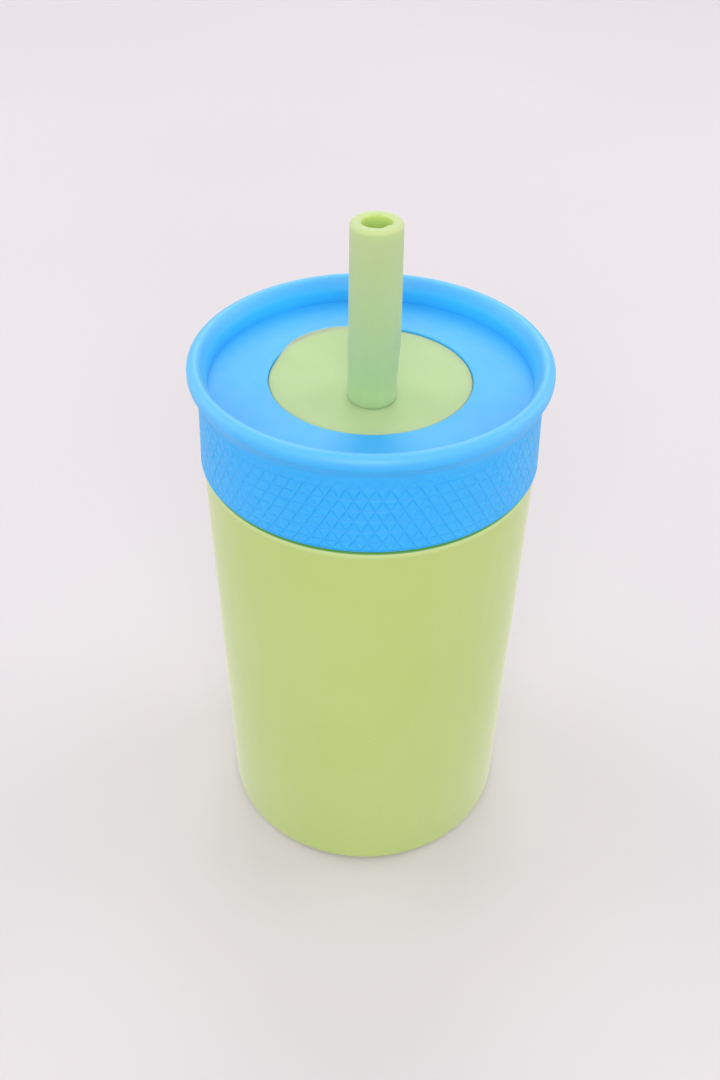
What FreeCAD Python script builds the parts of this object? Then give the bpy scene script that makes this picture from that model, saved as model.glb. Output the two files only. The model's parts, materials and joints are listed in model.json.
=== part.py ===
import FreeCAD, Part
import math
import os

# Insulated straw tumbler with a screw-on lid.
# Millimetres, +Z up, origin at the centre of the base, on the surface the tumbler stands on.
# The cup is a double-walled steel vessel. The lid screws onto its neck, and a soft insert with
# the drinking spout drops into the lid and holds the straw that reaches down into the cup.

Vector = FreeCAD.Vector
UP = Vector(0, 0, 1)
ORIGIN = Vector(0, 0, 0)
OUT_FOLDER = "parts"

# ---- cup: outer shell ----
BASE_RADIUS = 36.4
SHOULDER_RADIUS = 38.65
SHOULDER_HEIGHT = 108.4
BASE_CORNER_ROUNDING = 2.2
SHOULDER_ROUNDING = 0.9
SHELL_WALL = 0.7
NECK_RADIUS = 35.9
LIP_HEIGHT = 124.9
FOOT_RING_INNER_RADIUS = 32.6

# ---- cup: inner liner ----
LINER_WALL = 0.6
LINER_LAP = 4.0
LINER_STEP = 5.0
LINER_STEP_IN = 1.0
LINER_FLOOR_RADIUS = 32.6
LINER_FLOOR_HEIGHT = 5.2
LINER_CORNER_ROUNDING = 6.0

# ---- cup: base ----
BASE_PLATE_HEIGHT = 1.9
BASE_PLATE_THICKNESS = 0.7
SEAL_HOLE_RADIUS = 1.2
SEAL_HEAD_RADIUS = 3.0
SEAL_HEAD_DEPTH = 0.6
BASE_COVER_HEIGHT = 0.4
BASE_COVER_THICKNESS = 0.5
GETTER_RADIUS = 5.0
GETTER_THICKNESS = 1.3

# ---- screw thread between neck and lid ----
THREAD_LEAD = 12.0
THREAD_STARTS = 2
NECK_THREAD_TURNS = 0.55
LID_THREAD_TURNS = 0.40
NECK_THREAD_START_HEIGHT = 114.5
THREAD_ROOT_WIDTH = 2.2
THREAD_CREST_WIDTH = 1.2
NECK_THREAD_DEPTH = 1.0
LID_THREAD_DEPTH = 1.1
THREAD_FLANK_GAP = 0.35
THREAD_SINK = 0.25

# ---- lid ----
RIM_RADIUS = 40.7
RIM_TOP = 133.65
RIM_THICKNESS = 4.36
RIM_ROUNDING = 2.1
RIM_UNDERSIDE = 129.4
LID_FLOOR_TOP = 127.7
LID_FLOOR_RADIUS = 36.6
LID_FLOOR_THICKNESS = 1.7
LID_SEAT_TOP = 125.4
LID_SEAT_THICKNESS = 1.5
LID_SEAT_RADIUS = 22.95
SKIRT_TOP_RADIUS = 38.6
SKIRT_TOP_HEIGHT = 127.4
SKIRT_BOTTOM_RADIUS = 39.15
SKIRT_BOTTOM = 109.0
SKIRT_BORE_RADIUS = 37.3
PLUG_RING_OUTER_RADIUS = 33.4
PLUG_RING_INNER_RADIUS = 32.0
PLUG_RING_BOTTOM = 119.5

# ---- gasket ----
GASKET_INNER_RADIUS = 33.7
GASKET_OUTER_RADIUS = 36.8
GASKET_CLEARANCE = 0.05

# ---- straw insert and straw ----
STRAW_X = 0.7
STRAW_Y = -7.3
DISC_RADIUS = 22.65
DISC_TOP = 127.4
DISC_SEAT_CLEARANCE = 0.1
SPOUT_BASE_RADIUS = 5.75
SPOUT_TOP_RADIUS = 5.45
SPOUT_TOP = 167.9
SPOUT_ROUNDING = 0.9
BORE_RADIUS = 3.2
INSERT_PLUG_RADIUS = 8.0
INSERT_PLUG_BOTTOM = 116.5
INSERT_PLUG_CLEARANCE = 0.3
SOCKET_TOP = 123.5
TAB_DIRECTION = 126.0
TAB_REACH = 24.0
TAB_RADIUS = 12.0
TAB_ROOT_INSET = 3.0
TAB_FLOOR_CLEARANCE = 0.1
TAB_THICKNESS = 0.6
STRAW_OUTER_RADIUS = 4.0
STRAW_BOTTOM = 9.0


def rounded_outline(corners):
    """Closed face in the XZ half-plane from (radius, height, rounding) corners, with arcs at the roundings."""
    points = [Vector(radius, 0, height) for radius, height, rounding in corners]
    arrivals = []
    departures = []
    edges = []
    for i, (radius, height, rounding) in enumerate(corners):
        corner = points[i]
        to_previous = (points[i - 1] - corner).normalize()
        to_next = (points[(i + 1) % len(points)] - corner).normalize()
        if rounding <= 0:
            arrivals.append(corner)
            departures.append(corner)
            continue
        half_angle = to_previous.getAngle(to_next) / 2
        setback = rounding / math.tan(half_angle)
        bisector = (to_previous + to_next).normalize()
        arc_middle = corner + bisector * (rounding / math.sin(half_angle) - rounding)
        arrivals.append(corner + to_previous * setback)
        departures.append(corner + to_next * setback)
        edges.append(Part.Arc(arrivals[-1], arc_middle, departures[-1]).toShape())
    for i, departure in enumerate(departures):
        arrival = arrivals[(i + 1) % len(arrivals)]
        if departure.distanceToPoint(arrival) > 1e-6:
            edges.append(Part.LineSegment(departure, arrival).toShape())
    return Part.Face(Part.Wire(Part.__sortEdges__(edges)))


def turned(corners):
    """Solid of revolution about the Z axis."""
    return rounded_outline(corners).revolve(ORIGIN, UP, 360)


def at_straw(shape):
    """Moves a shape made about the Z axis to the straw's axis."""
    return shape.translated(Vector(STRAW_X, STRAW_Y, 0))


def shell_radius(height):
    """Outside radius of the tapered shell at a height."""
    slope = (SHOULDER_RADIUS - BASE_RADIUS) / SHOULDER_HEIGHT
    return BASE_RADIUS + slope * height


def thread_ridges(surface_radius, crest_radius, start_height, turns):
    """Helical ridges of trapezoid section that stand out of a cylinder, one for each thread start."""
    outward = math.copysign(1.0, crest_radius - surface_radius)
    root_radius = surface_radius - outward * THREAD_SINK
    root = THREAD_ROOT_WIDTH / 2
    crest = THREAD_CREST_WIDTH / 2
    section = Part.makePolygon([
        Vector(root_radius, 0, start_height - root),
        Vector(crest_radius, 0, start_height - crest),
        Vector(crest_radius, 0, start_height + crest),
        Vector(root_radius, 0, start_height + root),
        Vector(root_radius, 0, start_height - root),
    ])
    path = Part.makeHelix(THREAD_LEAD, THREAD_LEAD * turns, surface_radius)
    path.translate(Vector(0, 0, start_height))
    ridge = Part.Wire(path).makePipeShell([section], True, True)
    step = 360.0 / THREAD_STARTS
    return [ridge.rotated(ORIGIN, UP, step * i) for i in range(THREAD_STARTS)]


def make_outer_shell():
    neck_inner = NECK_RADIUS - SHELL_WALL
    shell = turned([
        (FOOT_RING_INNER_RADIUS, 0, 0.2),
        (BASE_RADIUS, 0, BASE_CORNER_ROUNDING),
        (SHOULDER_RADIUS, SHOULDER_HEIGHT, SHOULDER_ROUNDING),
        (NECK_RADIUS, SHOULDER_HEIGHT, 0.6),
        (NECK_RADIUS, LIP_HEIGHT, 0.3),
        (neck_inner, LIP_HEIGHT, 0),
        (neck_inner, SHOULDER_HEIGHT - SHELL_WALL, 0),
        (SHOULDER_RADIUS - SHELL_WALL, SHOULDER_HEIGHT - SHELL_WALL, 0.3),
        (shell_radius(SHELL_WALL) - SHELL_WALL, SHELL_WALL, BASE_CORNER_ROUNDING - SHELL_WALL),
        (FOOT_RING_INNER_RADIUS, SHELL_WALL, 0),
    ])
    crest = NECK_RADIUS + NECK_THREAD_DEPTH
    for ridge in thread_ridges(NECK_RADIUS, crest, NECK_THREAD_START_HEIGHT, NECK_THREAD_TURNS):
        shell = shell.fuse(ridge)
    return shell


def make_inner_liner():
    lap_radius = NECK_RADIUS - SHELL_WALL
    lap_bottom = LIP_HEIGHT - LINER_LAP
    step_bottom = lap_bottom - LINER_STEP
    waist = lap_radius - LINER_STEP_IN
    return turned([
        (0, LINER_FLOOR_HEIGHT, 0),
        (LINER_FLOOR_RADIUS, LINER_FLOOR_HEIGHT, LINER_CORNER_ROUNDING),
        (waist, step_bottom, 4.0),
        (lap_radius, lap_bottom, 0),
        (lap_radius, LIP_HEIGHT, 0),
        (lap_radius - LINER_WALL, LIP_HEIGHT, 0.25),
        (lap_radius - LINER_WALL, lap_bottom, 0),
        (waist - LINER_WALL, step_bottom, 4.0),
        (LINER_FLOOR_RADIUS - LINER_WALL, LINER_FLOOR_HEIGHT + LINER_WALL,
         LINER_CORNER_ROUNDING - LINER_WALL),
        (0, LINER_FLOOR_HEIGHT + LINER_WALL, 0),
    ])


def make_base_plate():
    edge = shell_radius(BASE_PLATE_HEIGHT) - SHELL_WALL - 0.05
    top = BASE_PLATE_HEIGHT + BASE_PLATE_THICKNESS
    return turned([
        (SEAL_HOLE_RADIUS, BASE_PLATE_HEIGHT, 0),
        (edge, BASE_PLATE_HEIGHT, 0.2),
        (edge, top, 0.2),
        (SEAL_HOLE_RADIUS, top, 0),
    ])


def make_vacuum_seal():
    head_bottom = BASE_PLATE_HEIGHT - SEAL_HEAD_DEPTH
    return turned([
        (0, head_bottom, 0),
        (SEAL_HEAD_RADIUS, head_bottom, 0.4),
        (SEAL_HEAD_RADIUS, BASE_PLATE_HEIGHT, 0),
        (SEAL_HOLE_RADIUS, BASE_PLATE_HEIGHT, 0),
        (SEAL_HOLE_RADIUS, BASE_PLATE_HEIGHT + BASE_PLATE_THICKNESS, 0),
        (0, BASE_PLATE_HEIGHT + BASE_PLATE_THICKNESS, 0),
    ])


def make_base_cover():
    rim = FOOT_RING_INNER_RADIUS
    pan_top = BASE_COVER_HEIGHT + BASE_COVER_THICKNESS
    return turned([
        (0, BASE_COVER_HEIGHT, 0),
        (rim, BASE_COVER_HEIGHT, 0.4),
        (rim, BASE_PLATE_HEIGHT, 0),
        (rim - BASE_COVER_THICKNESS, BASE_PLATE_HEIGHT, 0),
        (rim - BASE_COVER_THICKNESS, pan_top, 0.2),
        (0, pan_top, 0),
    ])


def make_getter():
    return turned([
        (0, LINER_FLOOR_HEIGHT - GETTER_THICKNESS, 0),
        (GETTER_RADIUS, LINER_FLOOR_HEIGHT - GETTER_THICKNESS, 0.3),
        (GETTER_RADIUS, LINER_FLOOR_HEIGHT, 0),
        (0, LINER_FLOOR_HEIGHT, 0),
    ])


def make_lid_shell():
    floor_bottom = LID_FLOOR_TOP - LID_FLOOR_THICKNESS
    seat_bottom = LID_SEAT_TOP - LID_SEAT_THICKNESS
    seat_wall = LID_SEAT_RADIUS + LID_SEAT_THICKNESS
    lid = turned([
        (0, LID_SEAT_TOP, 0),
        (LID_SEAT_RADIUS, LID_SEAT_TOP, 0.2),
        (LID_SEAT_RADIUS, LID_FLOOR_TOP, 0.25),
        (LID_FLOOR_RADIUS, LID_FLOOR_TOP, 0.5),
        (RIM_RADIUS - RIM_THICKNESS, RIM_TOP, RIM_ROUNDING),
        (RIM_RADIUS, RIM_TOP, RIM_ROUNDING),
        (RIM_RADIUS, RIM_UNDERSIDE, 1.7),
        (SKIRT_TOP_RADIUS, SKIRT_TOP_HEIGHT, 1.6),
        (SKIRT_BOTTOM_RADIUS, SKIRT_BOTTOM, 0.5),
        (SKIRT_BORE_RADIUS, SKIRT_BOTTOM, 0.4),
        (SKIRT_BORE_RADIUS, floor_bottom, 0),
        (PLUG_RING_OUTER_RADIUS, floor_bottom, 0),
        (PLUG_RING_OUTER_RADIUS, PLUG_RING_BOTTOM, 0.5),
        (PLUG_RING_INNER_RADIUS, PLUG_RING_BOTTOM, 0.5),
        (PLUG_RING_INNER_RADIUS, floor_bottom, 0.5),
        (seat_wall, floor_bottom, 0),
        (seat_wall, seat_bottom, 0.3),
        (0, seat_bottom, 0),
    ])
    hole_radius = INSERT_PLUG_RADIUS + INSERT_PLUG_CLEARANCE
    hole = Part.makeCylinder(hole_radius, 3 * LID_SEAT_THICKNESS, Vector(0, 0, seat_bottom - 1))
    lid = lid.cut(at_straw(hole))
    crest = SKIRT_BORE_RADIUS - LID_THREAD_DEPTH
    flank_offset = (THREAD_ROOT_WIDTH + THREAD_CREST_WIDTH) / 2 + THREAD_FLANK_GAP
    start_height = NECK_THREAD_START_HEIGHT - flank_offset
    for ridge in thread_ridges(SKIRT_BORE_RADIUS, crest, start_height, LID_THREAD_TURNS):
        lid = lid.fuse(ridge)
    return lid


def make_lid_gasket():
    bottom = LIP_HEIGHT + GASKET_CLEARANCE
    top = LID_FLOOR_TOP - LID_FLOOR_THICKNESS - GASKET_CLEARANCE
    return turned([
        (GASKET_INNER_RADIUS, bottom, 0.25),
        (GASKET_OUTER_RADIUS, bottom, 0.25),
        (GASKET_OUTER_RADIUS, top, 0.25),
        (GASKET_INNER_RADIUS, top, 0.25),
    ])


def make_straw_insert():
    disc_bottom = LID_SEAT_TOP + DISC_SEAT_CLEARANCE
    disc = turned([
        (0, disc_bottom, 0),
        (DISC_RADIUS, disc_bottom, 0.3),
        (DISC_RADIUS, DISC_TOP, 0.5),
        (0, DISC_TOP, 0),
    ])
    stem = turned([
        (0, INSERT_PLUG_BOTTOM, 0),
        (INSERT_PLUG_RADIUS, INSERT_PLUG_BOTTOM, 0.8),
        (INSERT_PLUG_RADIUS, disc_bottom + 1, 0),
        (SPOUT_BASE_RADIUS, disc_bottom + 1, 0),
        (SPOUT_TOP_RADIUS, SPOUT_TOP, SPOUT_ROUNDING),
        (0, SPOUT_TOP, 0),
    ])
    tab_bottom = LID_FLOOR_TOP + TAB_FLOOR_CLEARANCE
    tab_top = tab_bottom + TAB_THICKNESS
    bearing = math.radians(TAB_DIRECTION)
    tab_axis = Vector(math.cos(bearing), math.sin(bearing), 0) * (TAB_REACH - TAB_RADIUS)
    tab = Part.makeCylinder(TAB_RADIUS, TAB_THICKNESS, tab_axis + UP * tab_bottom)
    root_bottom = (disc_bottom + DISC_TOP) / 2
    root_radius = TAB_RADIUS - TAB_ROOT_INSET
    tab_root = Part.makeCylinder(root_radius, tab_top - root_bottom, tab_axis + UP * root_bottom)
    bore = Part.makeCylinder(BORE_RADIUS, SPOUT_TOP, UP * INSERT_PLUG_BOTTOM)
    socket_depth = SOCKET_TOP - INSERT_PLUG_BOTTOM
    socket = Part.makeCylinder(STRAW_OUTER_RADIUS, socket_depth, UP * INSERT_PLUG_BOTTOM)
    insert = disc.fuse([at_straw(stem), tab, tab_root])
    return insert.cut([at_straw(bore), at_straw(socket)])


def make_lower_straw():
    length = SOCKET_TOP - STRAW_BOTTOM
    tube = Part.makeCylinder(STRAW_OUTER_RADIUS, length, UP * STRAW_BOTTOM)
    bore = Part.makeCylinder(BORE_RADIUS, length, UP * STRAW_BOTTOM)
    return at_straw(tube.cut(bore))


NODES = {
    "outer_shell": make_outer_shell,
    "inner_liner": make_inner_liner,
    "base_plate": make_base_plate,
    "vacuum_seal": make_vacuum_seal,
    "base_cover": make_base_cover,
    "getter": make_getter,
    "lid_shell": make_lid_shell,
    "lid_gasket": make_lid_gasket,
    "straw_insert": make_straw_insert,
    "lower_straw": make_lower_straw,
}

os.makedirs(OUT_FOLDER, exist_ok=True)
for node, make in NODES.items():
    shape = make()
    shape.exportStep(os.path.join(OUT_FOLDER, node + ".step"))
    print(node, "valid" if shape.isValid() else "INVALID", round(shape.Volume / 1000, 2), "cm3")
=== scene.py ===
import json
import math

import bpy
from mathutils import Matrix, Vector


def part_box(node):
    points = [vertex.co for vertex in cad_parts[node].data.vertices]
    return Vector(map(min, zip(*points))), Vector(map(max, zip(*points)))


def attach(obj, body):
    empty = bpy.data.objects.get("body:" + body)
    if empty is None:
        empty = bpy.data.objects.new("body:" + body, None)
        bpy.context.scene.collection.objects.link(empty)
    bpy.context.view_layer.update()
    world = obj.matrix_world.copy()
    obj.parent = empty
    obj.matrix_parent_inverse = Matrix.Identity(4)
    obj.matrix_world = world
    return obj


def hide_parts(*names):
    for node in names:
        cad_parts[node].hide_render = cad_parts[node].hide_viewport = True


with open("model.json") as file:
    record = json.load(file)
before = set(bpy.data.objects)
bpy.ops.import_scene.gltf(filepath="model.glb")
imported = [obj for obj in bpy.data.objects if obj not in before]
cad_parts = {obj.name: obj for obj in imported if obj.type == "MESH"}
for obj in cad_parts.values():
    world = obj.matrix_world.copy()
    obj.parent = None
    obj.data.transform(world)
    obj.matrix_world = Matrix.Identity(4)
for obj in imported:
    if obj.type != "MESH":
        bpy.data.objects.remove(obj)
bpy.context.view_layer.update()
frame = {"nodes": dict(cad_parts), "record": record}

# Insulated straw tumbler: green powder-coated steel cup, blue screw-on lid with a lattice grip
# band, soft green insert with the drinking spout, and the straw that hangs below it.
# Sections below are in millimetres, as (radius, height) about the cup's axis; meshes are in metres.

MM = 0.001
TURN = 2 * math.pi
FRONT = -math.pi / 2
CUP_AXIS = (0.0, 0.0)

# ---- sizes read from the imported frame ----


def low(node):
    """A node's lowest corner, in millimetres."""
    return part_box(node)[0] / MM


def high(node):
    """A node's highest corner, in millimetres."""
    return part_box(node)[1] / MM


MOUNTS = {mount["name"]: mount for mount in frame["record"]["mounts"]}
BORE_RADIUS = MOUNTS["drinking_bore"]["dims"]["r_mm"]
STRAW_AXIS = (high("lower_straw").xy + low("lower_straw").xy) / 2

SHELL_WALL = 0.7
LINER_WALL = 0.6
LIP_HEIGHT = high("outer_shell").z
SHOULDER_RADIUS = high("outer_shell").x
BASE_RADIUS = SHOULDER_RADIUS - 2.25
NECK_RADIUS = high("inner_liner").x + SHELL_WALL
SHOULDER_HEIGHT = LIP_HEIGHT - 16.5
FOOT_BORE = 32.6
LINER_FLOOR = 5.2
LINER_FLOOR_RADIUS = 32.6

RIM_RADIUS = high("lid_shell").x
RIM_TOP = high("lid_shell").z
SKIRT_BOTTOM = low("lid_shell").z
LID_FLOOR = RIM_TOP - 5.95
SEAT_TOP = LID_FLOOR - 2.3
LID_UNDERSIDE = LID_FLOOR - 1.7
SEAT_UNDERSIDE = SEAT_TOP - 1.5
SKIRT_BORE = RIM_RADIUS - 3.4
SEAT_RADIUS = 22.95
SKIRT_BOTTOM_RADIUS = RIM_RADIUS - 1.55
SKIRT_TOP_RADIUS = RIM_RADIUS - 2.1
SKIRT_TOP = RIM_TOP - 6.25
PLUG_HOLE_RADIUS = 8.3
PLUG_HOLE_BEVEL = 0.2
PLUG_RING_BORE = 32.0
PLUG_RING_RADIUS = 33.4
PLUG_RING_BOTTOM = LID_UNDERSIDE - 6.5
GASKET_BORE = 33.7

SPOUT_TOP = high("straw_insert").z
PLUG_BOTTOM = low("straw_insert").z
DISC_RADIUS = SEAT_RADIUS - 0.07
DISC_TOP = LID_FLOOR - 0.3
DISC_BOTTOM = SEAT_TOP + 0.1
DISC_EDGE = 0.42
SPOUT_BASE_RADIUS = 5.75
SPOUT_TOP_RADIUS = 5.45
SPOUT_ROUNDING = 1.1
PLUG_RADIUS = 8.0
SOCKET_TOP = high("lower_straw").z
STRAW_RADIUS = (high("lower_straw").x - low("lower_straw").x) / 2

# ---- screw thread, the same helix on the neck and in the lid ----
THREAD_LEAD = 12.0
THREAD_STARTS = 2
THREAD_ROOT = 1.1
THREAD_CREST = 0.6
NECK_THREAD_HEIGHT = SHOULDER_HEIGHT + 6.1
NECK_THREAD_START = NECK_THREAD_HEIGHT - 3.0
NECK_THREAD_END = LIP_HEIGHT - 1.2
NECK_THREAD_TURNS = 0.55
NECK_THREAD_DEPTH = 1.0
LID_THREAD_HEIGHT = NECK_THREAD_HEIGHT - 2.05
LID_THREAD_START = LID_THREAD_HEIGHT - 2.0
LID_THREAD_END = LID_THREAD_HEIGHT + 7.5
LID_THREAD_TURNS = 0.40
LID_THREAD_DEPTH = 1.1

# ---- grip band lattice ----
GRIP_COLUMNS = 81
GRIP_ROW = 2.66
GRIP_BOTTOM_ROW = 2.05
GRIP_TOP_ROW = 1.95
GRIP_ROWS = 7
GRIP_START = SKIRT_BOTTOM + 0.35
GROOVE_DEPTH = 0.20
PAD_EDGE_DEPTH = 0.07
PAD_SHRINK = 0.82

# ---- points in a full ring ----
FINE = 4 * GRIP_COLUMNS
ROUND = 256
INSERT_ROUND = 192
SMALL_ROUND = 128


# ---------------------------------------------------------------- mesh building


class Builder:
    """Collects rings of points and the faces between them, then makes one mesh object."""

    def __init__(self):
        self.points = []
        self.faces = []
        self.flat = set()
        self.second = set()

    def add(self, points):
        start = len(self.points)
        self.points.extend(points)
        return list(range(start, len(self.points)))

    def face(self, indices, flat=False, second=False):
        if flat:
            self.flat.add(len(self.faces))
        if second:
            self.second.add(len(self.faces))
        self.faces.append(indices)

    def bridge(self, a, b, second=False):
        """Joins two rings that start at the same angle. Their counts may differ, and a point is a
        ring of one."""
        if len(a) == len(b):
            for i in range(len(a)):
                j = (i + 1) % len(a)
                self.face((a[i], a[j], b[j], b[i]), second=second)
            return
        used_up = 9.0
        i = j = 0
        while i < len(a) or j < len(b):
            step_a = (i + 1) / len(a) if i < len(a) and len(a) > 1 else used_up
            step_b = (j + 1) / len(b) if j < len(b) and len(b) > 1 else used_up
            if step_a == step_b == used_up:
                break
            if step_a <= step_b:
                self.face((a[i], a[(i + 1) % len(a)], b[j % len(b)]), second=second)
                i += 1
            else:
                self.face((a[i % len(a)], b[(j + 1) % len(b)], b[j]), second=second)
                j += 1

    def make(self, name, materials, crease=32.0):
        mesh = bpy.data.meshes.new(name)
        mesh.from_pydata([Vector(p) * MM for p in self.points], [], self.faces)
        mesh.validate()
        mesh.shade_smooth()
        mesh.set_sharp_from_angle(angle=math.radians(crease))
        for i, polygon in enumerate(mesh.polygons):
            if i in self.flat:
                polygon.use_smooth = False
            if i in self.second:
                polygon.material_index = 1
        piece = bpy.data.objects.new(name, mesh)
        bpy.context.scene.collection.objects.link(piece)
        for material in materials:
            mesh.materials.append(material)
        return piece


def circle(radius, height, count, centre=CUP_AXIS, relief=None):
    """Points of a ring. relief(angle, height) is added to the radius."""
    points = []
    for i in range(count):
        angle = FRONT + TURN * i / count
        r = radius + (relief(angle, height) if relief else 0.0)
        points.append((centre[0] + r * math.cos(angle), centre[1] + r * math.sin(angle), height))
    return points


def section(corners, arc_step=12.0):
    """Open outline of (radius, height) points from (radius, height, rounding) corners. The ends stay
    as they are."""
    outline = []
    for i, (radius, height, rounding) in enumerate(corners):
        corner = Vector((radius, height))
        if rounding <= 0 or i in (0, len(corners) - 1):
            outline.append(corner)
            continue
        before = (Vector(corners[i - 1][:2]) - corner).normalized()
        after = (Vector(corners[i + 1][:2]) - corner).normalized()
        half = before.angle(after) / 2
        centre = corner + (before + after).normalized() * rounding / math.sin(half)
        start = corner + before * rounding / math.tan(half) - centre
        end = corner + after * rounding / math.tan(half) - centre
        sweep = start.angle_signed(end)
        steps = max(2, round(abs(math.degrees(sweep)) / arc_step))
        for k in range(steps + 1):
            turn = -sweep * k / steps
            cos, sin = math.cos(turn), math.sin(turn)
            spoke = Vector((start.x * cos - start.y * sin, start.x * sin + start.y * cos))
            outline.append(centre + spoke)
    return outline


def levels(start, end, step):
    """Evenly spaced heights strictly between start and end."""
    count = max(1, round(abs(end - start) / step))
    return [start + (end - start) * k / count for k in range(1, count)]


def smooth_step(value, start, end):
    t = min(1.0, max(0.0, (value - start) / (end - start)))
    return t * t * (3 - 2 * t)


def angle_from(angle, direction):
    """Unsigned difference of two directions, in radians."""
    return abs((angle - direction + math.pi) % TURN - math.pi)


def lathe(name, outline, materials, closed=True):
    """Turned mesh. A closed outline joins its end to its start; an open one ends on the axis."""
    builder = Builder()
    rings = []
    for radius, height in outline:
        if radius < 1e-6:
            rings.append(builder.add([(0.0, 0.0, height)]))
        else:
            rings.append(builder.add(circle(radius, height, ROUND)))
    for a, b in zip(rings, rings[1:]):
        builder.bridge(a, b)
    if closed:
        builder.bridge(rings[-1], rings[0])
    return builder.make(name, materials)


def thread_profile(angle, height, start_height, turns):
    """Height of the helical ridges, 0 to 1, at a place on the cylinder that carries them."""
    best = 0.0
    for start in range(THREAD_STARTS):
        along = (angle - TURN * start / THREAD_STARTS) % TURN / TURN
        if along > turns:
            continue
        offset = abs(height - start_height - THREAD_LEAD * along)
        ridge = 1 - smooth_step(offset, THREAD_CREST, THREAD_ROOT)
        ends = smooth_step(along, 0.0, 0.02) * (1 - smooth_step(along, turns - 0.02, turns))
        best = max(best, ridge * ends)
    return best


# ---------------------------------------------------------------- materials


class Nodes:
    """A material's node tree with its Principled shader, and short ways to add to it."""

    def __init__(self, name):
        self.material = bpy.data.materials.new(name)
        self.material.use_nodes = True
        self.tree = self.material.node_tree
        self.shader = self.tree.nodes["Principled BSDF"]
        self.place = self.add("ShaderNodeTexCoord").outputs["Object"]

    def add(self, kind, **settings):
        node = self.tree.nodes.new(kind)
        for key, value in settings.items():
            setattr(node, key, value)
        return node

    def link(self, source, target):
        self.tree.links.new(source, target)

    def set(self, **values):
        for key, value in values.items():
            self.shader.inputs[key.replace("_", " ")].default_value = value

    def noise(self, size_mm, detail=2.0, roughness=0.5, stretch=(1, 1, 1)):
        """Noise whose features are about size_mm across."""
        mapping = self.add("ShaderNodeMapping")
        mapping.inputs["Scale"].default_value = stretch
        self.link(self.place, mapping.inputs["Vector"])
        texture = self.add("ShaderNodeTexNoise")
        texture.inputs["Scale"].default_value = 1 / (size_mm * MM)
        texture.inputs["Detail"].default_value = detail
        texture.inputs["Roughness"].default_value = roughness
        self.link(mapping.outputs["Vector"], texture.inputs["Vector"])
        return texture.outputs["Fac"]

    def range(self, source, to_low, to_high, from_low=0.3, from_high=0.7):
        node = self.add("ShaderNodeMapRange")
        node.inputs["From Min"].default_value = from_low
        node.inputs["From Max"].default_value = from_high
        node.inputs["To Min"].default_value = to_low
        node.inputs["To Max"].default_value = to_high
        self.link(source, node.inputs["Value"])
        return node.outputs["Result"]

    def blend(self, factor, first, second):
        """Colour that goes from first to second as factor goes from 0 to 1; either may be a socket."""
        node = self.add("ShaderNodeMix", data_type="RGBA")
        self.link(factor, node.inputs["Factor"])
        for key, value in (("A", first), ("B", second)):
            socket = [s for s in node.inputs if s.name == key and s.type == "RGBA"][0]
            if isinstance(value, bpy.types.NodeSocket):
                self.link(value, socket)
            else:
                socket.default_value = (*value, 1.0)
        return [s for s in node.outputs if s.type == "RGBA"][0]

    def off_axis(self, axis_mm, start_mm, end_mm):
        """Goes from 0 to 1 between two distances from an upright axis."""
        mapping = self.add("ShaderNodeMapping")
        mapping.inputs["Location"].default_value = (-axis_mm[0] * MM, -axis_mm[1] * MM, 0.0)
        mapping.inputs["Scale"].default_value = (1.0, 1.0, 0.0)
        self.link(self.place, mapping.inputs["Vector"])
        length = self.add("ShaderNodeVectorMath", operation="LENGTH")
        self.link(mapping.outputs["Vector"], length.inputs["Vector"])
        return self.range(length.outputs["Value"], 0.0, 1.0, start_mm * MM, end_mm * MM)

    def height(self, start_mm, end_mm):
        """Goes from 0 to 1 between two heights, in the cup's own coordinates."""
        split = self.add("ShaderNodeSeparateXYZ")
        self.link(self.place, split.inputs["Vector"])
        return self.range(split.outputs["Z"], 0.0, 1.0, start_mm * MM, end_mm * MM)

    def bump(self, heights):
        """Chains bumps from (height socket, strength, distance in mm)."""
        normal = None
        for source, strength, distance in heights:
            node = self.add("ShaderNodeBump")
            node.inputs["Strength"].default_value = strength
            node.inputs["Distance"].default_value = distance * MM
            self.link(source, node.inputs["Height"])
            if normal:
                self.link(normal, node.inputs["Normal"])
            normal = node.outputs["Normal"]
        self.link(normal, self.shader.inputs["Normal"])


def linear(red, green, blue):
    """Linear colour from display values of 0 to 255."""
    shares = (red / 255, green / 255, blue / 255)
    return tuple(s / 12.92 if s <= 0.04 else ((s + 0.055) / 1.055) ** 2.4 for s in shares)


def make_powder_coat():
    m = Nodes("powder_coat")
    drift = m.range(m.noise(38.0, 2.0), 0.0, 1.0)
    grain = m.noise(0.32, 2.0, 0.6)
    colour = m.blend(drift, linear(181, 202, 113), linear(186, 204, 121))
    speck = m.range(m.noise(0.9, 1.0), 0.0, 0.10, 0.62, 0.8)
    colour = m.blend(speck, colour, linear(214, 226, 170))
    # Painted highlight: the shoulder's rounding under the lid is painted paler, in place of the light
    # it catches.
    rounding = m.height(SHOULDER_HEIGHT - 1.9, SHOULDER_HEIGHT - 0.8)
    colour = m.blend(rounding, colour, linear(200, 218, 146))
    # Painted shade: a dark green line at the shoulder's outer edge, in the seam under the lid's skirt,
    # in place of the shadow there.
    outer_edge = m.off_axis(CUP_AXIS, SHOULDER_RADIUS - 1.25, SHOULDER_RADIUS - 0.95)
    painted_seam_shade = m.blend(outer_edge, colour, linear(84, 156, 62))
    colour = m.blend(m.height(SHOULDER_HEIGHT - 0.68, SHOULDER_HEIGHT - 0.46), colour, painted_seam_shade)
    m.link(colour, m.shader.inputs["Base Color"])
    m.link(m.range(m.noise(6.0, 3.0), 0.50, 0.58), m.shader.inputs["Roughness"])
    m.set(Specular_IOR_Level=0.45, Sheen_Weight=0.55, Sheen_Roughness=0.4)
    m.set(Coat_Weight=0.06, Coat_Roughness=0.45)
    m.shader.inputs["Sheen Tint"].default_value = (1.0, 0.98, 0.97, 1.0)
    m.bump([(m.noise(2.4, 1.0), 0.10, 0.02), (grain, 0.22, 0.012)])
    return m.material


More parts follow.
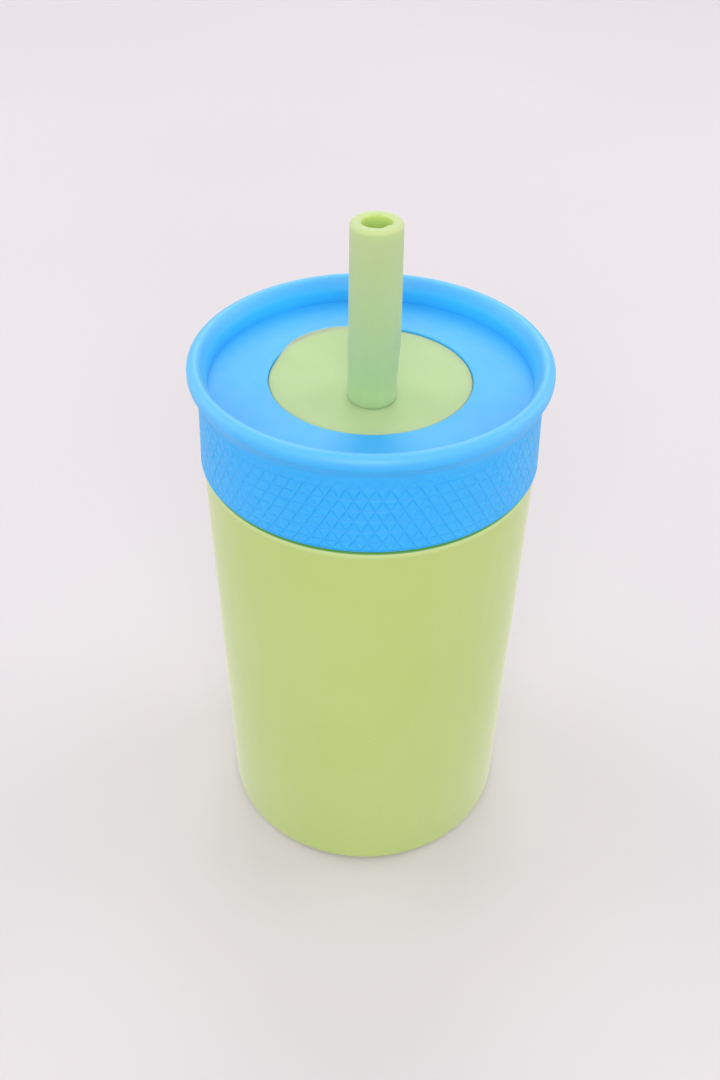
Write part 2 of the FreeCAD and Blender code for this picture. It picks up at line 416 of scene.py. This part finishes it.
def make_brushed_steel(name, stretch):
    m = Nodes(name)
    lines = m.noise(1.1, 4.0, 0.7, stretch)
    tone = m.range(m.noise(14.0, 3.0), 0.0, 1.0)
    clean = m.blend(tone, linear(203, 202, 200), linear(212, 211, 209))
    colour = m.blend(m.range(lines, 0.0, 0.7), clean, linear(182, 181, 179))
    m.link(colour, m.shader.inputs["Base Color"])
    m.link(m.range(lines, 0.24, 0.40), m.shader.inputs["Roughness"])
    m.set(Metallic=1.0)
    m.bump([(lines, 0.15, 0.02)])
    return m.material


def make_lid_plastic():
    m = Nodes("lid_plastic")
    tone = m.range(m.noise(24.0, 2.0), 0.0, 1.0)
    colour = m.blend(tone, linear(10, 171, 243), linear(18, 176, 247))
    # Painted light: the lid's floor is painted paler than the outside and the rim's inner wall paler
    # still, in place of reflected light and light shining through the rim.
    painted_inside_light = m.blend(tone, linear(32, 174, 245), linear(40, 179, 248))
    painted_inside_light = m.blend(m.height(LID_FLOOR + 0.2, LID_FLOOR + 1.6), painted_inside_light, linear(46, 190, 252))
    colour = m.blend(m.off_axis(CUP_AXIS, RIM_RADIUS - 3.8, RIM_RADIUS - 3.2), painted_inside_light, colour)
    # Painted highlight: the top of the rim's bead is painted paler.
    colour = m.blend(m.height(RIM_TOP - 3.0, RIM_TOP - 0.8), colour, linear(86, 190, 252))
    # Small pale specks near the skirt's bottom edge.
    light_speck_mask = m.range(m.noise(0.7, 3.0, 0.7), 0.0, 0.8, 0.66, 0.72)
    light_specked = m.blend(light_speck_mask, colour, linear(196, 226, 250))
    colour = m.blend(m.height(SKIRT_BOTTOM + 1.4, SKIRT_BOTTOM + 0.4), colour, light_specked)
    m.link(colour, m.shader.inputs["Base Color"])
    m.link(m.range(m.noise(3.0, 3.0), 0.42, 0.49), m.shader.inputs["Roughness"])
    m.set(Subsurface_Weight=0.3, Subsurface_Scale=0.0015, Specular_IOR_Level=0.68, Sheen_Weight=0.10)
    m.shader.inputs["Subsurface Radius"].default_value = (0.4, 0.8, 1.0)
    m.bump([(m.noise(1.6, 2.0), 0.06, 0.02), (m.noise(0.25, 2.0), 0.10, 0.008)])
    return m.material


def make_silicone(name, first, second, radius, top_shade_colour=None, bore_light_colour=None):
    """Soft translucent rubber. The insert's is painted darker and yellower towards the spout's top, a
    painted shade, and paler and yellower in its bore, a painted light.
    """
    m = Nodes(name)
    colour = m.blend(m.range(m.noise(9.0, 2.0), 0.0, 0.4), first, second)
    # Painted shade: the spout's top, lit from above, is painted darker and yellower.
    if top_shade_colour:
        colour = m.blend(m.height(DISC_TOP + 14.0, SPOUT_TOP - 4.0), colour, top_shade_colour)
    # Painted light: the bore is painted paler and yellower, in place of light shining into it.
    if bore_light_colour:
        outside = m.off_axis(STRAW_AXIS, BORE_RADIUS + 0.05, BORE_RADIUS + 0.35)
        colour = m.blend(outside, bore_light_colour, colour)
    m.link(colour, m.shader.inputs["Base Color"])
    m.link(m.range(m.noise(1.4, 3.0), 0.50, 0.60), m.shader.inputs["Roughness"])
    m.set(Subsurface_Weight=1.0, Subsurface_Scale=0.0045)
    m.set(Specular_IOR_Level=0.22, Sheen_Weight=0.05, Sheen_Roughness=0.5)
    m.shader.inputs["Subsurface Radius"].default_value = radius
    m.bump([(m.noise(1.8, 2.0), 0.06, 0.02), (m.noise(0.22, 2.0), 0.12, 0.008)])
    return m.material


def make_frosted_plastic():
    m = Nodes("frosted_plastic")
    lines = m.noise(0.6, 3.0, 0.5, (1, 1, 0.04))
    m.link(m.blend(m.range(m.noise(12.0), 0.0, 1.0), linear(225, 233, 231), linear(236, 240, 238)),
           m.shader.inputs["Base Color"])
    m.link(m.range(lines, 0.28, 0.42), m.shader.inputs["Roughness"])
    m.set(Transmission_Weight=0.55, IOR=1.49, Subsurface_Weight=0.2, Subsurface_Scale=0.001)
    m.bump([(lines, 0.08, 0.02)])
    return m.material


def make_seal_glass():
    m = Nodes("seal_glass")
    m.link(m.blend(m.range(m.noise(0.8), 0.0, 1.0), linear(28, 29, 33), linear(52, 53, 58)),
           m.shader.inputs["Base Color"])
    m.link(m.range(m.noise(0.5), 0.08, 0.2), m.shader.inputs["Roughness"])
    m.bump([(m.noise(0.9), 0.2, 0.05)])
    return m.material


def make_floor_material():
    m = Nodes("studio_floor")
    tone = m.range(m.noise(420.0, 2.0), 0.0, 1.0)
    m.link(m.blend(tone, linear(219, 214, 217), linear(222, 217, 220)), m.shader.inputs["Base Color"])
    m.link(m.range(m.noise(2.0, 3.0), 0.75, 0.85), m.shader.inputs["Roughness"])
    m.set(Specular_IOR_Level=0.15)
    m.bump([(m.noise(0.8, 2.0), 0.05, 0.02)])
    return m.material


POWDER_COAT = make_powder_coat()
STEEL_TURNED = make_brushed_steel("steel_turned", (0.05, 0.05, 6.0))
STEEL_PLATE = make_brushed_steel("steel_plate", (4.0, 0.25, 1.0))
LID_PLASTIC = make_lid_plastic()
# The insert's silicone has painted shade at the spout's top and painted light in its bore.
INSERT_SILICONE = make_silicone(
    "insert_silicone", linear(182, 209, 150), linear(187, 212, 156), (0.9, 1.0, 0.6),
    top_shade_colour=linear(187, 203, 150), bore_light_colour=linear(198, 216, 143))
GASKET_SILICONE = make_silicone(
    "gasket_silicone", linear(214, 216, 212), linear(226, 228, 224), (1.0, 1.0, 0.9))
STRAW_PLASTIC = make_frosted_plastic()
SEAL_GLASS = make_seal_glass()


def finish_piece(piece, body, node):
    """Puts a piece on its body and hides the solid it stands for."""
    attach(piece, body)
    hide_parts(node)


# ---------------------------------------------------------------- cup


def make_shell():
    """Outer steel wall: rounded foot, straight taper, shoulder and a bare neck with a rolled
    thread."""
    neck_inner = NECK_RADIUS - SHELL_WALL
    outer = section([
        (FOOT_BORE, 0.15, 0),
        (FOOT_BORE + 0.15, 0.0, 0.1),
        (BASE_RADIUS, 0, 2.2),
        (SHOULDER_RADIUS, SHOULDER_HEIGHT, 1.1),
        (NECK_RADIUS, SHOULDER_HEIGHT, 0.6),
        (NECK_RADIUS, NECK_THREAD_START, 0),
    ], arc_step=9.0)
    threaded = [Vector((NECK_RADIUS, z)) for z in levels(NECK_THREAD_START, NECK_THREAD_END, 0.14)]
    inner = section([
        (NECK_RADIUS, NECK_THREAD_END, 0),
        (NECK_RADIUS, LIP_HEIGHT, 0.3),
        (neck_inner, LIP_HEIGHT, 0),
        (neck_inner, SHOULDER_HEIGHT - SHELL_WALL, 0),
        (SHOULDER_RADIUS - SHELL_WALL, SHOULDER_HEIGHT - SHELL_WALL, 0.3),
        (BASE_RADIUS - SHELL_WALL, SHELL_WALL, 1.5),
        (FOOT_BORE, SHELL_WALL, 0),
    ])

    def relief(angle, height):
        if not NECK_THREAD_START + 0.5 < height < NECK_THREAD_END:
            return 0.0
        ridge = thread_profile(angle, height, NECK_THREAD_HEIGHT, NECK_THREAD_TURNS)
        return NECK_THREAD_DEPTH * ridge

    builder = Builder()
    outline = outer + threaded + inner
    rings = [builder.add(circle(r, z, FINE, relief=relief if abs(r - NECK_RADIUS) < 1e-6 else None))
             for r, z in outline]
    paint_edge = SHOULDER_HEIGHT + 0.35
    for i, ring in enumerate(rings):
        following = (i + 1) % len(rings)
        bare = min(outline[i].y, outline[following].y) > paint_edge
        builder.bridge(ring, rings[following], second=bare)
    return builder.make("shell", [POWDER_COAT, STEEL_TURNED], crease=75.0)


def make_liner():
    """Steel liner, closed at the bottom, open at the mouth."""
    lap = NECK_RADIUS - SHELL_WALL
    waist = lap - 1.0
    floor = LINER_FLOOR + LINER_WALL
    raised_floor = floor + 0.35
    outline = section([
        (0, LINER_FLOOR, 0),
        (LINER_FLOOR_RADIUS, LINER_FLOOR, 6.0),
        (waist, LIP_HEIGHT - 9.0, 4.0),
        (lap, LIP_HEIGHT - 4.0, 0),
        (lap, LIP_HEIGHT, 0),
        (lap - LINER_WALL, LIP_HEIGHT, 0.25),
        (lap - LINER_WALL, LIP_HEIGHT - 4.0, 1.5),
        (waist - LINER_WALL, LIP_HEIGHT - 9.0, 4.0),
        (LINER_FLOOR_RADIUS - LINER_WALL, floor, 5.4),
        (14.0, floor, 2.0),
        (12.8, raised_floor, 1.0),
        (0, raised_floor, 0),
    ], arc_step=9.0)
    return lathe("liner", outline, [STEEL_TURNED], closed=False)


def make_base_cover():
    """Plate inside the foot ring, recessed in the middle and in a ring near its edge."""
    rim, rim_inner = FOOT_BORE - 0.05, FOOT_BORE - 0.55
    rim_top, plate_top = 1.9, 1.2
    outline = section([
        (0, 0.75, 0),
        (9.0, 0.75, 0.6),
        (9.6, 0.45, 0.4),
        (24.0, 0.45, 0.4),
        (24.6, 0.7, 0.4),
        (29.0, 0.7, 0.4),
        (29.6, 0.4, 0.3),
        (rim, 0.4, 0.4),
        (rim, rim_top, 0),
        (rim_inner, rim_top, 0),
        (rim_inner, plate_top, 0.2),
        (0, plate_top, 0),
    ])
    return lathe("base_cover_plate", outline, [STEEL_PLATE], closed=False)


finish_piece(make_shell(), "cup", "outer_shell")
finish_piece(make_liner(), "cup", "inner_liner")
finish_piece(make_base_cover(), "cup", "base_cover")


# ---------------------------------------------------------------- lid


def skirt_radius(height):
    """Outside radius of the lid's skirt, which widens a little downwards."""
    widening = SKIRT_TOP_RADIUS - SKIRT_BOTTOM_RADIUS
    return SKIRT_BOTTOM_RADIUS + widening * (height - SKIRT_BOTTOM) / (SKIRT_TOP - SKIRT_BOTTOM)


def add_grip_band(builder):
    """Rows of shallow faceted triangles with grooves between them. Returns its lowest and highest
    rings, each with its shift in columns, and the height of the highest."""
    heights = [GRIP_START, GRIP_START + GRIP_BOTTOM_ROW]
    while len(heights) < GRIP_ROWS:
        heights.append(heights[-1] + GRIP_ROW)
    heights.append(heights[-1] + GRIP_TOP_ROW)

    def place(column, height, depth=0.0):
        angle = FRONT + TURN * column / GRIP_COLUMNS
        radius = skirt_radius(height) - depth
        return (radius * math.cos(angle), radius * math.sin(angle), height)

    rings = []
    for row, height in enumerate(heights):
        shift = 0.0 if row % 2 else 0.5
        depth = PAD_EDGE_DEPTH if row == GRIP_ROWS else GROOVE_DEPTH
        points = [place(c + shift, height, depth) for c in range(GRIP_COLUMNS)]
        rings.append((builder.add(points), shift))

    def add_triangle(corners, flats):
        """corners are mesh points, flats their (column, height) places on the unrolled band."""
        middle = tuple(sum(f[k] for f in flats) / 3 for k in (0, 1))
        inner = []
        for column, height in flats:
            inner.append(place(middle[0] + (column - middle[0]) * PAD_SHRINK,
                               middle[1] + (height - middle[1]) * PAD_SHRINK, PAD_EDGE_DEPTH))
        inner = builder.add(inner)
        centre = builder.add([place(*middle)])[0]
        for k in range(3):
            n = (k + 1) % 3
            builder.face((corners[k], corners[n], inner[n], inner[k]), flat=True)
            builder.face((inner[k], inner[n], centre), flat=True)

    for row in range(GRIP_ROWS):
        (lower, shift_low), (upper, shift_up) = rings[row], rings[row + 1]
        z_low, z_up = heights[row], heights[row + 1]
        for c in range(GRIP_COLUMNS):
            n = (c + 1) % GRIP_COLUMNS
            if shift_low < shift_up:
                add_triangle((lower[c], lower[n], upper[c]),
                             ((c, z_low), (c + 1, z_low), (c + 0.5, z_up)))
                add_triangle((upper[n], upper[c], lower[n]),
                             ((c + 1.5, z_up), (c + 0.5, z_up), (c + 1, z_low)))
            else:
                add_triangle((upper[n], upper[c], lower[c]),
                             ((c + 1, z_up), (c, z_up), (c + 0.5, z_low)))
                add_triangle((lower[c], lower[n], upper[n]),
                             ((c + 0.5, z_low), (c + 1.5, z_low), (c + 1, z_up)))
    return rings[0], rings[-1], heights[-1]


def make_lid():
    """Whole lid as one closed surface: grip band, flared rim, sunken floor with the insert's seat,
    plug ring and threaded bore."""
    builder = Builder()
    bottom_band, top_band, band_top = add_grip_band(builder)

    def outline_rings(points, relief=None, centre=CUP_AXIS):
        return [builder.add(circle(r, z, FINE, centre, relief)) for r, z in points]

    above_band = band_top + 0.35
    below_band = GRIP_START - 0.08
    upper = section([
        (skirt_radius(above_band), above_band, 0),
        (SKIRT_TOP_RADIUS, RIM_TOP - 5.9, 1.8),
        (RIM_RADIUS, RIM_TOP - 3.0, 1.7),
        (RIM_RADIUS, RIM_TOP, 1.7),
        (RIM_RADIUS - 2.6, RIM_TOP, 1.3),
        (RIM_RADIUS - 4.2, RIM_TOP - 3.2, 4.0),
        (RIM_RADIUS - 4.35, LID_FLOOR, 0),
        (SEAT_RADIUS, LID_FLOOR, 0.3),
        (SEAT_RADIUS, SEAT_TOP, 0.2),
        (SEAT_RADIUS - 1.0, SEAT_TOP, 0),
    ], arc_step=9.0)
    hole = section([
        (PLUG_HOLE_RADIUS + PLUG_HOLE_BEVEL, SEAT_TOP, 0),
        (PLUG_HOLE_RADIUS, SEAT_TOP - PLUG_HOLE_BEVEL, 0),
        (PLUG_HOLE_RADIUS, SEAT_UNDERSIDE + PLUG_HOLE_BEVEL, 0),
        (PLUG_HOLE_RADIUS + PLUG_HOLE_BEVEL, SEAT_UNDERSIDE, 0),
    ])
    under = section([
        (SEAT_RADIUS + 0.5, SEAT_UNDERSIDE, 0),
        (SEAT_RADIUS + 1.5, SEAT_UNDERSIDE, 0.4),
        (SEAT_RADIUS + 1.5, LID_UNDERSIDE, 0.5),
        (PLUG_RING_BORE, LID_UNDERSIDE, 0.6),
        (PLUG_RING_BORE, PLUG_RING_BOTTOM, 0.5),
        (PLUG_RING_RADIUS, PLUG_RING_BOTTOM, 0.5),
        (PLUG_RING_RADIUS, LID_UNDERSIDE, 0.2),
        (SKIRT_BORE, LID_UNDERSIDE, 0.3),
        (SKIRT_BORE, LID_THREAD_END, 0),
    ])
    thread = [Vector((SKIRT_BORE, z)) for z in levels(LID_THREAD_END, LID_THREAD_START, 0.16)]
    foot = section([
        (SKIRT_BORE, LID_THREAD_START, 0),
        (SKIRT_BORE, SKIRT_BOTTOM, 0.4),
        (RIM_RADIUS - 1.7, SKIRT_BOTTOM, 0.2),
        (skirt_radius(below_band), below_band, 0),
    ])

    def relief(angle, height):
        ridge = thread_profile(angle, height, LID_THREAD_HEIGHT, LID_THREAD_TURNS)
        return -LID_THREAD_DEPTH * ridge

    rings = outline_rings(upper)
    rings += outline_rings(hole, centre=STRAW_AXIS)
    rings += outline_rings(under)
    rings += outline_rings(thread, relief)
    rings += outline_rings(foot)
    for a, b in zip(rings, rings[1:]):
        builder.bridge(a, b)
    half = FINE // GRIP_COLUMNS // 2

    def from_shift(ring, shift):
        """The fine ring, started at the angle of the band ring's first point."""
        start = half if shift else 0
        return ring[start:] + ring[:start]

    builder.bridge(from_shift(rings[-1], bottom_band[1]), bottom_band[0])
    builder.bridge(top_band[0], from_shift(rings[0], top_band[1]))
    return builder.make("lid", [LID_PLASTIC], crease=75.0)


finish_piece(make_lid(), "lid", "lid_shell")


def make_gasket():
    """Flat silicone ring with two sealing beads underneath."""
    inner, outer = GASKET_BORE, high("lid_gasket").x
    bottom, top = low("lid_gasket").z, high("lid_gasket").z
    outline = section([
        (inner, top, 0),
        (inner, bottom + 0.15, 0.1),
        (inner + 0.7, bottom, 0.3),
        (inner + 1.3, bottom + 0.2, 0.3),
        (inner + 1.9, bottom, 0.3),
        (outer, bottom + 0.15, 0.1),
        (outer, top, 0),
    ])
    return lathe("gasket", outline, [GASKET_SILICONE])


finish_piece(make_gasket(), "seal", "lid_gasket")


# ---------------------------------------------------------------- insert and straw

TAB_DIRECTION = math.radians(127)
TAB_HALF_WIDTH = math.radians(45)
TAB_REACH = 1.2
TAB_LIFT = 0.8
NICK_DIRECTION = math.radians(-48)


def tab(angle):
    """1 at the middle of the thumb tab, 0 away from it."""
    return 1 - smooth_step(angle_from(angle, TAB_DIRECTION), 0.0, TAB_HALF_WIDTH)


def tab_reach(angle):
    """The tab passes the seat's edge only where it is already above the lid's floor."""
    return smooth_step(tab(angle), 0.25, 1.0)


def tab_lift(angle):
    return smooth_step(tab(angle), 0.0, 0.55)


def tab_clear(angle):
    """1 where the disc's lower edge is above the lid's floor, 0 where it is down in the seat."""
    return smooth_step(tab(angle), 0.1, 0.36)


def make_insert():
    """Silicone insert as one closed surface: bore, spout, disc with a lifted thumb tab, plug and
    socket."""
    builder = Builder()

    def ring(radius, height, centre=STRAW_AXIS, reach=0.0, lift=0.0, clear=0.0, side=None):
        """reach, lift and clear act only at the tab; side(angle) is added to the radius all round."""
        points = []
        for i in range(INSERT_ROUND):
            angle = FRONT + TURN * i / INSERT_ROUND
            r = radius + reach * tab_reach(angle) + (side(angle) if side else 0.0)
            z = height + lift * tab_lift(angle) + clear * tab_clear(angle)
            points.append((centre[0] + r * math.cos(angle), centre[1] + r * math.sin(angle), z))
        return builder.add(points)

    rings = []
    root = SPOUT_BASE_RADIUS + 0.9
    disc_face = DISC_TOP + 0.02
    shoulder = SPOUT_TOP - SPOUT_ROUNDING
    bore_edge = SPOUT_TOP - 1.6
    nick_end = SPOUT_TOP - 4.0

    def spout_radius(height):
        narrowing = SPOUT_TOP_RADIUS - SPOUT_BASE_RADIUS
        return SPOUT_BASE_RADIUS + narrowing * (height - DISC_TOP) / (SPOUT_TOP - DISC_TOP)

    def pinch(height):
        """The spout is drawn in a little on its right side just above the disc."""
        amount = 0.75 * (1 - smooth_step(height, DISC_TOP + 2.0, DISC_TOP + 17.0))
        return lambda angle: -amount * max(0.0, math.cos(angle)) ** 1.5

    def nick(amount):
        """A small lip of flash on the bore's edge."""
        return lambda angle: -amount * (1 - smooth_step(angle_from(angle, NICK_DIRECTION), 0.12, 0.42))

    rings.append(ring(root, disc_face, side=pinch(DISC_TOP)))
    for rise, extra in [(0.02, -0.16), (0.15, -0.13), (0.45, -0.06), (0.9, -0.02), (1.5, 0.0)]:
        rings.append(ring(SPOUT_BASE_RADIUS + extra, DISC_TOP + rise, side=pinch(DISC_TOP + rise)))
    for height in levels(DISC_TOP + 1.5, shoulder, 2.5):
        rings.append(ring(spout_radius(height), height, side=pinch(height)))
    mouth = section([
        (spout_radius(shoulder), shoulder, 0),
        (SPOUT_TOP_RADIUS, SPOUT_TOP, 0.95),
        (BORE_RADIUS, SPOUT_TOP, 0.5),
        (BORE_RADIUS, bore_edge, 0),
    ], arc_step=11.0)
    for radius, height in mouth:
        near_bore = smooth_step(radius, BORE_RADIUS + 0.7, BORE_RADIUS)
        rings.append(ring(radius, height, side=nick(0.45 * near_bore)))
    for height in levels(bore_edge, nick_end, 0.8):
        rings.append(ring(BORE_RADIUS, height, side=nick(0.3)))
    for height in levels(nick_end, SOCKET_TOP, 6.0):
        rings.append(ring(BORE_RADIUS, height))
    rings.append(ring(BORE_RADIUS, SOCKET_TOP))
    rings.append(ring(STRAW_RADIUS, SOCKET_TOP))
    rings.append(ring(STRAW_RADIUS, PLUG_BOTTOM + 0.5))
    rings.append(ring(STRAW_RADIUS + 0.5, PLUG_BOTTOM))
    plug = section([
        (PLUG_RADIUS - 1.0, PLUG_BOTTOM, 0),
        (PLUG_RADIUS, PLUG_BOTTOM, 0.8),
        (PLUG_RADIUS, DISC_BOTTOM, 0),
    ])
    for radius, height in plug:
        rings.append(ring(radius, height))

    # The disc's underside and side stand on the cup's axis. At the tab its lower edge is folded up
    # to just above the lid's floor.
    side_radius = DISC_RADIUS - 0.05
    rings.append(ring(DISC_RADIUS - 2.0, DISC_BOTTOM, CUP_AXIS))
    rings.append(ring(DISC_RADIUS - 0.25, DISC_BOTTOM, CUP_AXIS))
    rings.append(ring(side_radius, DISC_BOTTOM + 0.3, CUP_AXIS))
    sunk = LID_FLOOR - DISC_TOP
    for drop, reach, gap in [(0.75, 0.0, 0.02), (0.6, TAB_REACH * 0.9, 0.04)]:
        rings.append(ring(side_radius, DISC_TOP - drop, CUP_AXIS, reach, clear=sunk + drop + gap))
    edge_gap = 0.08
    for k in range(5):
        turn = math.radians(90 * k / 4)
        share = math.sin(turn)
        radius = DISC_RADIUS - DISC_EDGE + DISC_EDGE * math.cos(turn)
        height = DISC_TOP - DISC_EDGE + DISC_EDGE * share
        clear = (sunk + DISC_EDGE + edge_gap) * (1 - share)
        rings.append(ring(radius, height, CUP_AXIS, TAB_REACH, TAB_LIFT * share, clear))

    # Across the disc's top the rings close in from its edge to the spout's root, and their centres
    # move from the cup's axis to the straw's.
    for share in (0.9, 0.8, 0.7, 0.6, 0.5, 0.38, 0.26, 0.14):
        centre = tuple(along * (1 - share) for along in STRAW_AXIS)
        radius = root * (1 - share) + (DISC_RADIUS - DISC_EDGE) * share
        fade = smooth_step(share, 0.45, 1.0)
        crown = 0.10 * math.sin(math.pi * share)
        rings.append(ring(radius, disc_face - crown, centre, TAB_REACH * share, TAB_LIFT * fade,
                          side=pinch(DISC_TOP + 20 * share)))
    for i, lower in enumerate(rings):
        builder.bridge(lower, rings[(i + 1) % len(rings)])
    return builder.make("insert", [INSERT_SILICONE], crease=40.0)


def make_straw():
    """Frosted tube with rounded ends, pushed into the insert's socket."""
    bottom = low("lower_straw").z
    outline = section([
        (STRAW_RADIUS - 0.4, bottom, 0),
        (STRAW_RADIUS, bottom, 0.25),
        (STRAW_RADIUS, SOCKET_TOP, 0.25),
        (BORE_RADIUS, SOCKET_TOP, 0.2),
        (BORE_RADIUS, bottom, 0.2),
    ])
    builder = Builder()
    rings = [builder.add(circle(r, z, SMALL_ROUND, STRAW_AXIS)) for r, z in outline]
    for i, ring in enumerate(rings):
        builder.bridge(ring, rings[(i + 1) % len(rings)])
    return builder.make("straw_tube", [STRAW_PLASTIC])


finish_piece(make_insert(), "straw", "straw_insert")
finish_piece(make_straw(), "straw", "lower_straw")

# ---------------------------------------------------------------- carried-over hidden nodes

HIDDEN_MATERIALS = {"base_plate": STEEL_PLATE, "getter": STEEL_PLATE, "vacuum_seal": SEAL_GLASS}
for node, material in HIDDEN_MATERIALS.items():
    mesh = frame["nodes"][node].data
    mesh.materials.clear()
    mesh.materials.append(material)


# ---------------------------------------------------------------- studio


def make_floor():
    """Wide round floor, a hair below the foot ring."""
    builder = Builder()
    height = -0.05
    rings = [builder.add([(*CUP_AXIS, height)])]
    for radius in (60, 120, 400, 1200, 4000, 9000):
        rings.append(builder.add(circle(radius, height, 96)))
    for a, b in zip(rings, rings[1:]):
        builder.bridge(a, b)
    floor = builder.make("studio_floor", [make_floor_material()])


def make_light(name, position, size, power, colour=(1.0, 1.0, 1.0)):
    """Round soft light, turned towards the middle of the cup."""
    light = bpy.data.lights.new(name, "AREA")
    light.shape = "DISK"
    light.size = size
    light.energy = power
    light.color = colour
    lamp = bpy.data.objects.new(name, light)
    bpy.context.scene.collection.objects.link(lamp)
    lamp.location = position
    target = Vector((0, 0, 0.08))
    lamp.rotation_euler = (target - lamp.location).to_track_quat("-Z", "Y").to_euler()


def make_world():
    world = bpy.data.worlds.new("studio")
    bpy.context.scene.world = world
    world.use_nodes = True
    background = world.node_tree.nodes["Background"]
    background.inputs["Color"].default_value = (1.0, 0.975, 0.99, 1.0)
    background.inputs["Strength"].default_value = 0.54


def make_camera():
    """Stands in front and above, and looks down at the lid."""
    distance, height = 0.2291, 0.2661
    pitch, yaw, roll = math.radians(38.98), math.radians(-0.48), math.radians(0.73)
    flat = math.cos(pitch)
    forward = Vector((math.sin(yaw) * flat, math.cos(yaw) * flat, -math.sin(pitch)))
    level = Vector((math.cos(yaw), -math.sin(yaw), 0.0))
    above = level.cross(forward)
    right = level * math.cos(roll) + above * math.sin(roll)
    up = above * math.cos(roll) - level * math.sin(roll)
    data = bpy.data.cameras.new("camera")
    data.sensor_fit = "VERTICAL"
    data.sensor_height = 36.0
    data.lens = 39.49
    data.clip_start = 0.01
    data.clip_end = 50.0
    camera = bpy.data.objects.new("camera", data)
    bpy.context.scene.collection.objects.link(camera)
    rotation = Matrix((right, up, -forward)).transposed().to_4x4()
    camera.matrix_world = Matrix.Translation((0.0, -distance, height)) @ rotation
    bpy.context.scene.camera = camera


make_floor()
make_world()
make_light("top_softbox", (0.0, 0.2, 1.3), 1.6, 3.2)
make_light("back_softbox", (0.0, 1.4, 1.2), 1.2, 7.0, (0.96, 0.975, 1.0))
make_light("front_softbox", (0.0, -1.6, 1.0), 1.4, 16.5)
make_light("left_softbox", (-1.1, 0.35, 0.65), 0.9, 3.5)
make_light("right_softbox", (1.1, 0.35, 0.65), 0.9, 3.5)
make_camera()
bpy.context.scene.view_settings.view_transform = "Standard"
